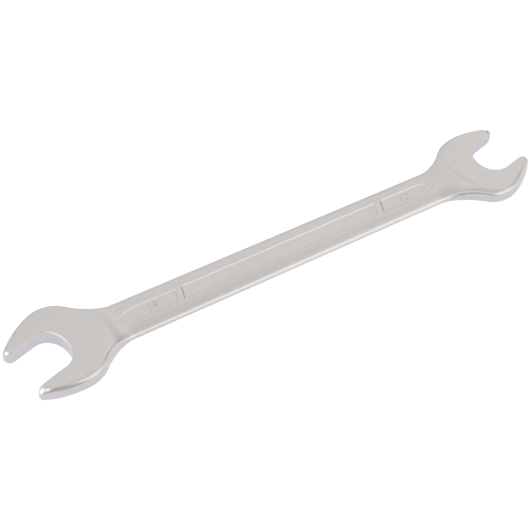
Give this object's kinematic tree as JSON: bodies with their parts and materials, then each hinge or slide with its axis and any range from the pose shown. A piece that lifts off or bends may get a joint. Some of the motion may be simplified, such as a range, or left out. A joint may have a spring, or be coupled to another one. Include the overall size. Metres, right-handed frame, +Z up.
{
  "type": "double open ended wrench",
  "caption": "Flat double-ended open wrench: a crowned shank with sunken panels joins two parallel-faced jaws, each turned 15 degrees, the larger jaw at -X.",
  "frame": {"origin": "under the middle of the wrench's box, on the surface that the wrench lies on", "axes": "+X along the shank towards the small jaw, +Z up through the thickness of the wrench lying flat"},
  "size_m": [0.2242, 0.0392, 0.007],
  "materials": {
    "satin_chrome": "satin chrome plate over forged steel"
  },
  "bodies": {
    "root": {"wrench_forging": "satin_chrome"}
  },
  "joints": []
}
